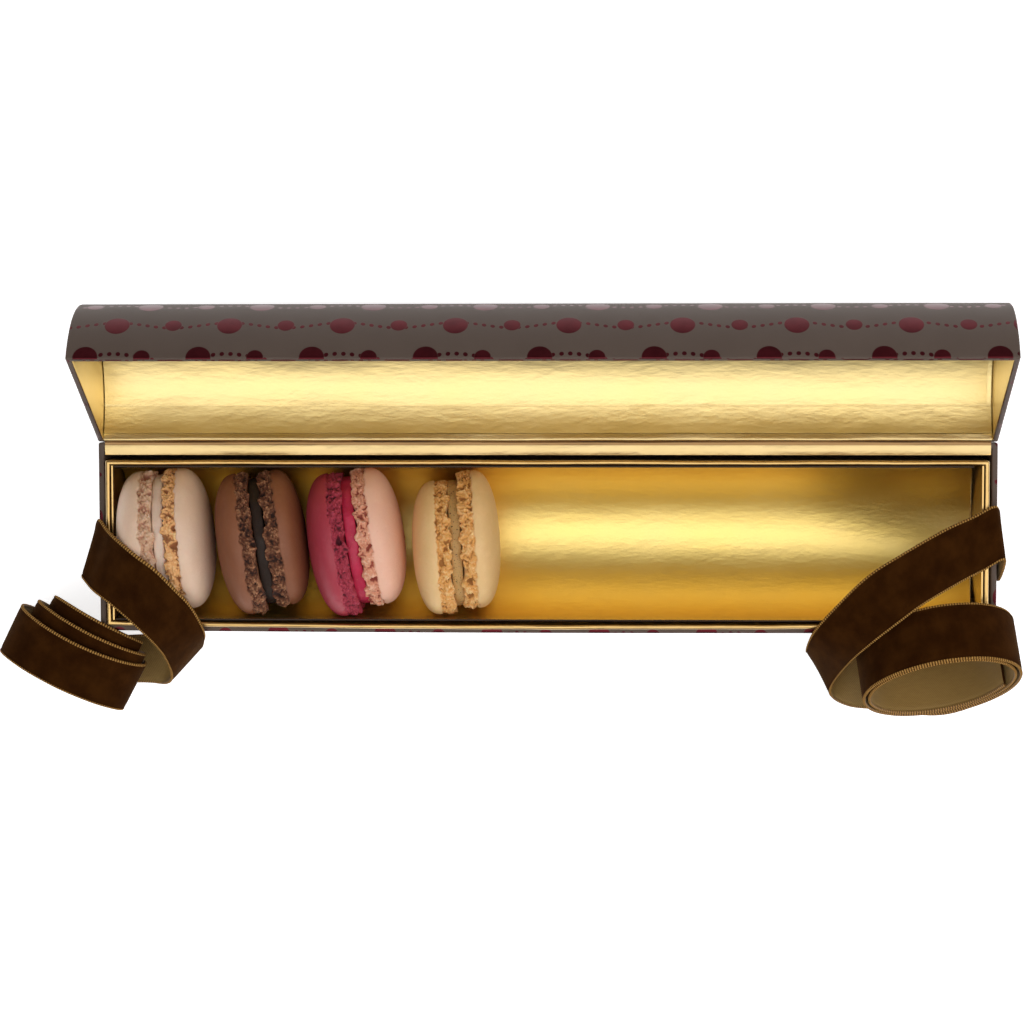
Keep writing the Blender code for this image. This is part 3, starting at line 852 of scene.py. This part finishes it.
def build_macaron(name, x, parts, radii, shifts, yaw, lean, seed, left_crust, right_crust):
    left_height, filling, right_height = parts
    seats = [seat(radius, shift) for radius, shift in zip(radii, shifts)]
    middle = (seats[0] + seats[1]) / 2
    centre = Matrix.Translation(Vector((x, TROUGH_MIDDLE, LINER_AXIS)) + middle)
    turn = Matrix.Rotation(math.radians(yaw), 4, "Z") @ Matrix.Rotation(math.radians(lean), 4, "Y")
    disc_radius = min(radii) * FILLING_SHARE - FILLING_SUNK
    disc = wrap_rows(f"{name}_cream", filling_rows(disc_radius, filling - 0.0006))
    for vert in disc.data.vertices:
        flat = Vector((vert.co.x, vert.co.y, 0))
        vert.co += flat.normalized() * noise.noise(vert.co * 160 + Vector((seed, 0, 0))) * 0.0007
    disc.matrix_world = centre @ turn @ Matrix.Rotation(math.pi / 2, 4, "Y")
    settle(disc)
    bpy.ops.object.shade_smooth()
    disc.data.materials.append(FILLINGS[name])
    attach(disc, "base")
    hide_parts(f"{name}_filling")
    sides = (("left", -1, left_height, left_crust), ("right", 1, right_height, right_crust))
    for i, (side, sign, height, crust) in enumerate(sides):
        shell = wrap_rows(f"{name}_{side}_crust", shell_rows(radii[i], height))
        roughen_foot(shell, seed + sign)
        axis = Matrix.Rotation(sign * math.pi / 2, 4, "Y")
        slide = Matrix.Translation(seats[i] - middle)
        shell.matrix_world = centre @ turn @ slide @ axis @ Matrix.Translation((0, 0, filling / 2))
        settle(shell)
        shell.data.materials.append(SHELLS[crust])
        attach(shell, "base")
        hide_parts(f"{name}_shell_{side}")


build_macaron("rose", *MACARONS["rose"], "blush pale", "blush")
build_macaron("chocolate", *MACARONS["chocolate"], "cocoa", "cocoa")
build_macaron("raspberry", *MACARONS["raspberry"], "crimson", "salmon")
build_macaron("vanilla", *MACARONS["vanilla"], "cream", "cream")


# The ribbons. Brown velvet on a satin back, with a narrow corded selvedge along each side. Each comes up
# the end wall, folds over the rim, crosses the front corner and ends in a loose roll on the table.
RIBBON_WIDTH = 0.0178
RIBBON_THICKNESS = 0.0009
SELVEDGE = 0.0007
CORD_PITCH = 0.00085
TWILL_PITCH = 0.0007

# The run of each ribbon from the end wall to the table, as points of its upper and lower edges
LEFT_RUN = (
    ((-0.1430, 0.0015, 0.0120), (-0.1430, -0.0163, 0.0120)),
    ((-0.1434, 0.0020, 0.0270), (-0.1437, -0.0158, 0.0260)),
    ((-0.1408, 0.0061, 0.0360), (-0.1467, -0.0125, 0.0345)),
    ((-0.1372, 0.0034, 0.0420), (-0.1445, -0.0146, 0.0379)),
    ((-0.1335, 0.0010, 0.0474), (-0.1418, -0.0167, 0.0407)),
    ((-0.1267, -0.0036, 0.0526), (-0.1363, -0.0202, 0.0434)),
    ((-0.1204, -0.0082, 0.0530), (-0.1315, -0.0242, 0.0439)),
    ((-0.1153, -0.0141, 0.0499), (-0.1271, -0.0288, 0.0422)),
    ((-0.1108, -0.0203, 0.0447), (-0.1235, -0.0333, 0.0388)),
    ((-0.1079, -0.0282, 0.0375), (-0.1215, -0.0383, 0.0315)),
    ((-0.1093, -0.0330, 0.0265), (-0.1213, -0.0458, 0.0190)),
    ((-0.1143, -0.0380, 0.0090), (-0.1255, -0.0505, 0.0045)),
    ((-0.1260, -0.0345, 0.0026), (-0.1335, -0.0505, 0.0013)),
)
RIGHT_RUN = (
    ((0.1430, 0.0040, 0.0120), (0.1430, -0.0138, 0.0120)),
    ((0.1430, 0.0040, 0.0255), (0.1433, -0.0138, 0.0255)),
    ((0.1408, 0.0105, 0.0355), (0.1438, -0.0066, 0.0344)),
    ((0.1336, 0.0075, 0.0383), (0.1373, -0.0094, 0.0379)),
    ((0.1239, 0.0034, 0.0415), (0.1294, -0.0131, 0.0410)),
    ((0.1095, -0.0045, 0.0452), (0.1176, -0.0194, 0.0464)),
    ((0.1001, -0.0108, 0.0448), (0.1106, -0.0246, 0.0472)),
    ((0.0910, -0.0202, 0.0418), (0.1024, -0.0318, 0.0426)),
    ((0.0842, -0.0289, 0.0370), (0.0965, -0.0389, 0.0318)),
    ((0.0827, -0.0360, 0.0240), (0.0925, -0.0475, 0.0150)),
    ((0.0852, -0.0378, 0.0100), (0.0920, -0.0535, 0.0055)),
    ((0.0935, -0.0400, 0.0022), (0.0975, -0.0574, 0.0012)),
    ((0.1050, -0.0405, 0.0012), (0.1065, -0.0583, 0.0030)),
)
LEFT_COIL_TURNS = 2.7
RIGHT_COIL_TURNS = 2.2
COIL_STATIONS = 12  # in each turn
STATION_STEPS = 10

# The ribbon's half section: places across it, and how far each stands from the middle, in thicknesses
COLUMNS = (0, 0.02, 0.045, 0.06, 0.075, 0.14, 0.25, 0.37, 0.5, 0.63, 0.75, 0.86, 0.925, 0.94, 0.955, 0.98, 1)
HEIGHTS = (0.30, 0.52, 0.50, 0.30, 0.44, *[0.5] * 7, 0.44, 0.30, 0.50, 0.52, 0.30)


def edges(middle, across):
    """The upper and lower edge points of a ribbon about this point of its middle line."""
    half = across.normalized() * (RIBBON_WIDTH / 2)
    return middle + half, middle - half


def left_coil(turns):
    """The loose roll at the left, an oval that gets smaller and slides towards the box with each turn."""
    inward = turns - 0.5
    swing = math.radians(152 - 1.5 * inward)
    along = Vector((math.cos(swing), math.sin(swing), 0))
    axis = Vector((math.sin(swing), -math.cos(swing), 0))
    middle = Vector((-0.1532 + 0.0033 * inward, -0.0411 + 0.0036 * inward, 0.0171 + 0.0013 * inward))
    length, height = 0.0216 - 0.0028 * inward, 0.0142 - 0.0024 * inward
    angle = 1.5 * math.pi - 2 * math.pi * turns
    rise = math.sin(angle)
    middle += along * (-length * math.cos(angle)) + Vector((0, 0, height * rise))
    middle += axis * (0.0013 * math.cos(angle) ** 2 - (0.0005 + 0.0012 * inward) * (1 - rise))
    return edges(middle, axis + Vector((0, 0, 0.17 * (1 + rise))))


def right_coil(turns):
    """The rounder roll at the right, an oval ring that stands tilted in front of the box."""
    tilt, swing, lean = math.radians(30), math.radians(7.5), math.radians(25)
    level = Vector((math.cos(swing), math.sin(swing), 0))
    back = Vector((-math.sin(swing) * math.cos(tilt), math.cos(swing) * math.cos(tilt), -math.sin(tilt)))
    up = level.cross(back)
    long = level * math.cos(lean) + up * math.sin(lean)
    short = up * math.cos(lean) - level * math.sin(lean)
    radius = 0.0262 - 0.0017 * turns
    angle = 2 * math.pi * turns - math.pi / 2 - lean
    middle = Vector((0.1236, -0.0393, 0.0288))
    middle += long * radius * math.cos(angle) + short * (radius - 0.0035) * math.sin(angle)
    rise = 1 + math.sin(angle + lean)
    return edges(middle, back + Vector((0, 0, 0.12 * rise)))


def smooth(stations, share):
    """The point on a Catmull-Rom curve through the stations, at share from 0 to 1."""
    place = share * (len(stations) - 1)
    i = min(int(place), len(stations) - 2)
    t = place - i
    a, b, c, d = (stations[min(max(j, 0), len(stations) - 1)] for j in range(i - 1, i + 3))
    return (b * 2 + (c - a) * t + (a * 2 - b * 5 + c * 4 - d) * t**2 + (b * 3 - a - c * 3 + d) * t**3) / 2


def woven_place(finish):
    """The place on the ribbon laid flat, its two numbers, the ticks of the cord and where the cord lies."""
    flat = finish.cloth_place()
    across, along = finish.coordinate(flat, 0), finish.coordinate(flat, 1)
    from_side = finish.maths("MINIMUM", across, RIBBON_WIDTH - across)
    ticks = finish.maths("SINE", along * (2 * math.pi / CORD_PITCH)) * 0.5 + 0.5
    cord = 1 - finish.between(from_side, SELVEDGE * 0.75, SELVEDGE * 1.05)
    return flat, across, along, ticks, cord


def velvet_finish():
    """Short brown pile, dark looked into and a little golden at a glance, with corded tan selvedges."""
    velvet = Finish("brown velvet", Roughness=0.9, Specular_IOR_Level=0.02, Sheen_Weight=0.075)
    velvet.set(**{"Sheen Roughness": 0.38, "Sheen Tint": (0.80, 0.40, 0.09, 1)})
    flat, _, _, ticks, cord = woven_place(velvet)
    pile = velvet.noise(flat, 4200, 2, 0.7)
    crush = velvet.noise(flat, 130, 3)
    brown = velvet.mix(velvet.between(crush, 0.25, 0.85), (0.016, 0.0036, 0.0005), (0.047, 0.0150, 0.0024))
    brown = velvet.mix(pile * 0.3, brown, (0.060, 0.0215, 0.0040))
    tan = velvet.mix(ticks, (0.062, 0.026, 0.006), (0.50, 0.265, 0.075))
    velvet.set(**{"Base Color": velvet.mix(cord, brown, tan)})
    height = pile * (1 - cord) * 0.6 + ticks * cord * 2
    velvet.set(Normal=velvet.bump(height, 0.00012, 0.8))
    return velvet.material


def satin_finish():
    """The woven back of the ribbon: a smooth satin in golden brown with a fine diagonal grain."""
    satin = Finish("satin back", Specular_IOR_Level=0.25, Sheen_Weight=0.08)
    flat, across, along, ticks, cord = woven_place(satin)
    twill = satin.maths("SINE", (across + along) * (2 * math.pi / TWILL_PITCH)) * 0.5 + 0.5
    slub = satin.noise(satin.scaled(flat, (1500, 300, 1)), 1.0, 3)
    ground = satin.mix(twill * 0.5 + slub * 0.5, (0.180, 0.104, 0.025), (0.350, 0.212, 0.060))
    tan = satin.mix(ticks, (0.08, 0.036, 0.010), (0.48, 0.260, 0.080))
    satin.set(**{"Base Color": satin.mix(cord, ground, tan), "Roughness": 0.48 + 0.1 * slub})
    satin.set(Normal=satin.bump(twill * (1 - cord) + ticks * cord * 2, 0.00007, 0.7))
    return satin.material


VELVET, SATIN = velvet_finish(), satin_finish()


def build_ribbon(name, run, coil, coil_turns, velvet_side, node):
    """Sweeps the ribbon's section through its stations: a raised cord along each side, and pile between."""
    stations = [(Vector(upper), Vector(lower)) for upper, lower in run]
    coil_steps = round(coil_turns * COIL_STATIONS)
    stations += [coil(coil_turns * i / coil_steps) for i in range(coil_steps + 1)]
    uppers = [upper for upper, _ in stations]
    lowers = [lower for _, lower in stations]
    steps = STATION_STEPS * (len(stations) - 1)
    rows = []
    run_length = 0.0
    before = None
    for step in range(steps + 1):
        share = step / steps
        upper, lower = smooth(uppers, share), smooth(lowers, share)
        last, after = max(share - 0.002, 0), min(share + 0.002, 1)
        tangent = smooth(uppers, after) + smooth(lowers, after) - smooth(uppers, last) - smooth(lowers, last)
        out = (upper - lower).cross(tangent).normalized() * velvet_side
        middle = (upper + lower) / 2
        if before:
            run_length += (middle - before).length
        before = middle
        rows.append((upper, lower, out, run_length))
    verts, flats = [], []
    for upper, lower, out, length in rows:
        for sign in (1, -1):
            for share, height in zip(COLUMNS, HEIGHTS):
                verts.append(upper.lerp(lower, share) + out * sign * height * RIBBON_THICKNESS)
                flats.append((share * RIBBON_WIDTH, length))
    count = len(COLUMNS)
    ring = list(range(count)) + list(range(2 * count - 1, count - 1, -1))
    faces = []
    for row in range(steps):
        base = row * 2 * count
        for i, corner in enumerate(ring):
            following = ring[(i + 1) % len(ring)]
            ahead = base + 2 * count
            faces.append((base + corner, base + following, ahead + following, ahead + corner))
    faces += [tuple(ring), tuple(steps * 2 * count + i for i in reversed(ring))]
    mesh = bpy.data.meshes.new(name)
    mesh.from_pydata(verts, [], faces)
    piece = bpy.data.objects.new(name, mesh)
    bpy.context.scene.collection.objects.link(piece)
    flat_map = mesh.uv_layers.new(name="flat")
    for face in mesh.polygons:
        for loop in face.loop_indices:
            flat_map.data[loop].uv = flats[mesh.loops[loop].vertex_index]
    close_up(piece)
    mesh.materials.append(VELVET)
    mesh.materials.append(SATIN)
    for face in mesh.polygons:
        corners = [index % (2 * count) for index in face.vertices]
        face.material_index = int(all(corner >= count for corner in corners))
    bpy.ops.object.shade_smooth_by_angle(angle=math.radians(75))
    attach(piece, "base")
    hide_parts(node)


build_ribbon("left_velvet", LEFT_RUN, left_coil, LEFT_COIL_TURNS, -1, "ribbon_left")
build_ribbon("right_velvet", RIGHT_RUN, right_coil, RIGHT_COIL_TURNS, 1, "ribbon_right")
